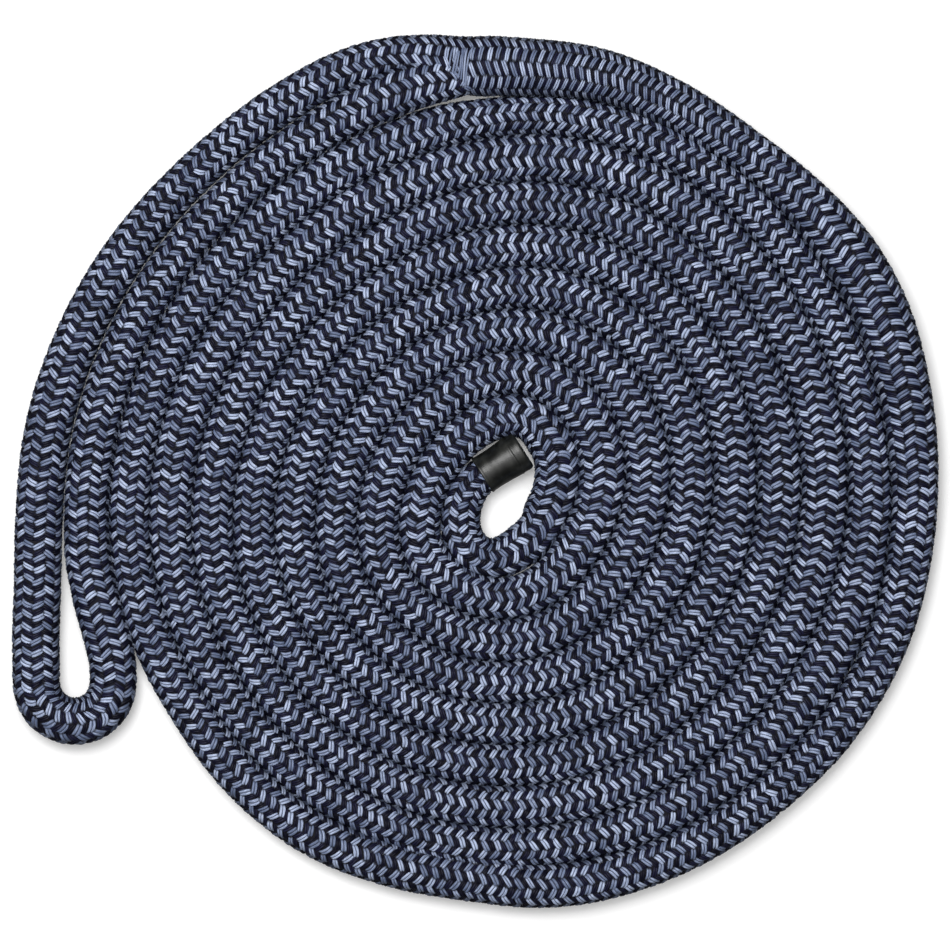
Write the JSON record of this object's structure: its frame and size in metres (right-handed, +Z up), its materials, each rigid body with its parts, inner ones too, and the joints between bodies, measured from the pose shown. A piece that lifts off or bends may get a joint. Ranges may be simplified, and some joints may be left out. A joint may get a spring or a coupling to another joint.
{
  "type": "dock line",
  "caption": "Double-braid dock line laid in a flat coil, with a long spliced eye lying along one side and a heat-shrunk sleeve on its bitter end at the middle.",
  "frame": {"origin": "on the floor at the middle of the flat coil, where its innermost turn leaves an almond-shaped hole", "axes": "+Z up out of the coil, +Y towards the splice at the top of the coil, -X towards the side that the eye lies along"},
  "size_m": [0.3356, 0.3285, 0.0226],
  "materials": {
    "braid_cover": "polyester braid, navy and light blue strands, slight sheen",
    "braid_core": "plain white polyester braid",
    "fused_polyester": "melted, glossy",
    "hot_melt": "translucent amber adhesive",
    "shrink_sleeve": "semi-gloss black polyolefin"
  },
  "bodies": {
    "coil": {"coil_cover": "braid_cover", "splice_cover": "braid_cover", "coil_core": "braid_core", "buried_cover_tail": "braid_cover", "buried_core_tail": "braid_core"},
    "throat": {"throat_cover": "braid_cover", "throat_standing_core": "braid_core", "throat_core_tail": "braid_core"},
    "eye": {"eye_cover": "braid_cover", "eye_core": "braid_core"},
    "tail": {"tail_cover": "braid_cover", "tail_core": "braid_core", "fused_end": "fused_polyester", "sleeve_lining": "hot_melt", "end_sleeve": "shrink_sleeve"}
  },
  "joints": [
    {"name": "eye_swing", "type": "hinge", "parent": "coil", "child": "throat", "pos_m": [0.00038, 0.15643, 0.0113], "axis": [0, 0, -1], "range_deg": [0, 70]},
    {"name": "eye_lift", "type": "hinge", "parent": "throat", "child": "eye", "pos_m": [-0.02371, 0.16113, 0.008], "axis": [-0.0175, 0.9998, 0], "range_deg": [0, 70]},
    {"name": "tail_lift", "type": "hinge", "parent": "coil", "child": "tail", "pos_m": [0.00045, -0.02125, 0.0074], "axis": [0.4067, 0.9135, 0], "range_deg": [0, 60]}
  ]
}
